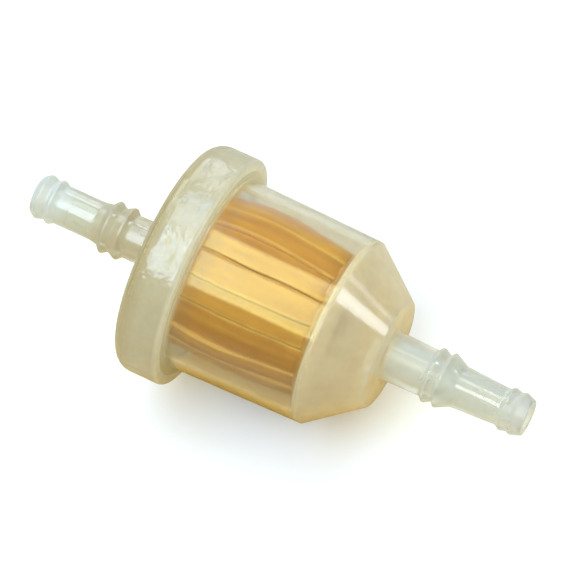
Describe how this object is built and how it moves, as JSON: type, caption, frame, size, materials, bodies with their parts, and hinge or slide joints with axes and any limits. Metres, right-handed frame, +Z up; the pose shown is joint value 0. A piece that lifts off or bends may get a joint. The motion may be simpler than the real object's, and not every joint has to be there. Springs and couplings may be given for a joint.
{
  "type": "in-line fuel filter",
  "caption": "Small-engine in-line fuel filter: translucent nylon cap and cone-ended bowl round a pleated paper element, with a barbed hose nipple at each end.",
  "frame": {"origin": "on the flow axis, half way between the tips of the two hose nipples", "axes": "+X along the flow axis from the inlet nipple (in the wide cap) to the outlet nipple (on the cone); +Z up with the flow axis level; the seam of the paper is at the bottom"},
  "size_m": [0.094, 0.0422, 0.0422],
  "materials": {
    "nylon_cap": "milky translucent, glossy",
    "nylon_bowl": "clear with a cream tint, glossy",
    "nylon_disc": "satin",
    "potting": "cured amber resin",
    "filter_paper": "resin-cured pleated paper",
    "clip_metal": "tinned strip"
  },
  "bodies": {
    "root": {"inlet_cap": "nylon_cap", "filter_bowl": "nylon_bowl", "inlet_end_disc": "nylon_disc", "inlet_potting": "potting", "pleated_paper": "filter_paper", "seam_clip": "clip_metal", "outlet_potting": "potting", "outlet_end_ring": "nylon_disc"}
  },
  "joints": []
}
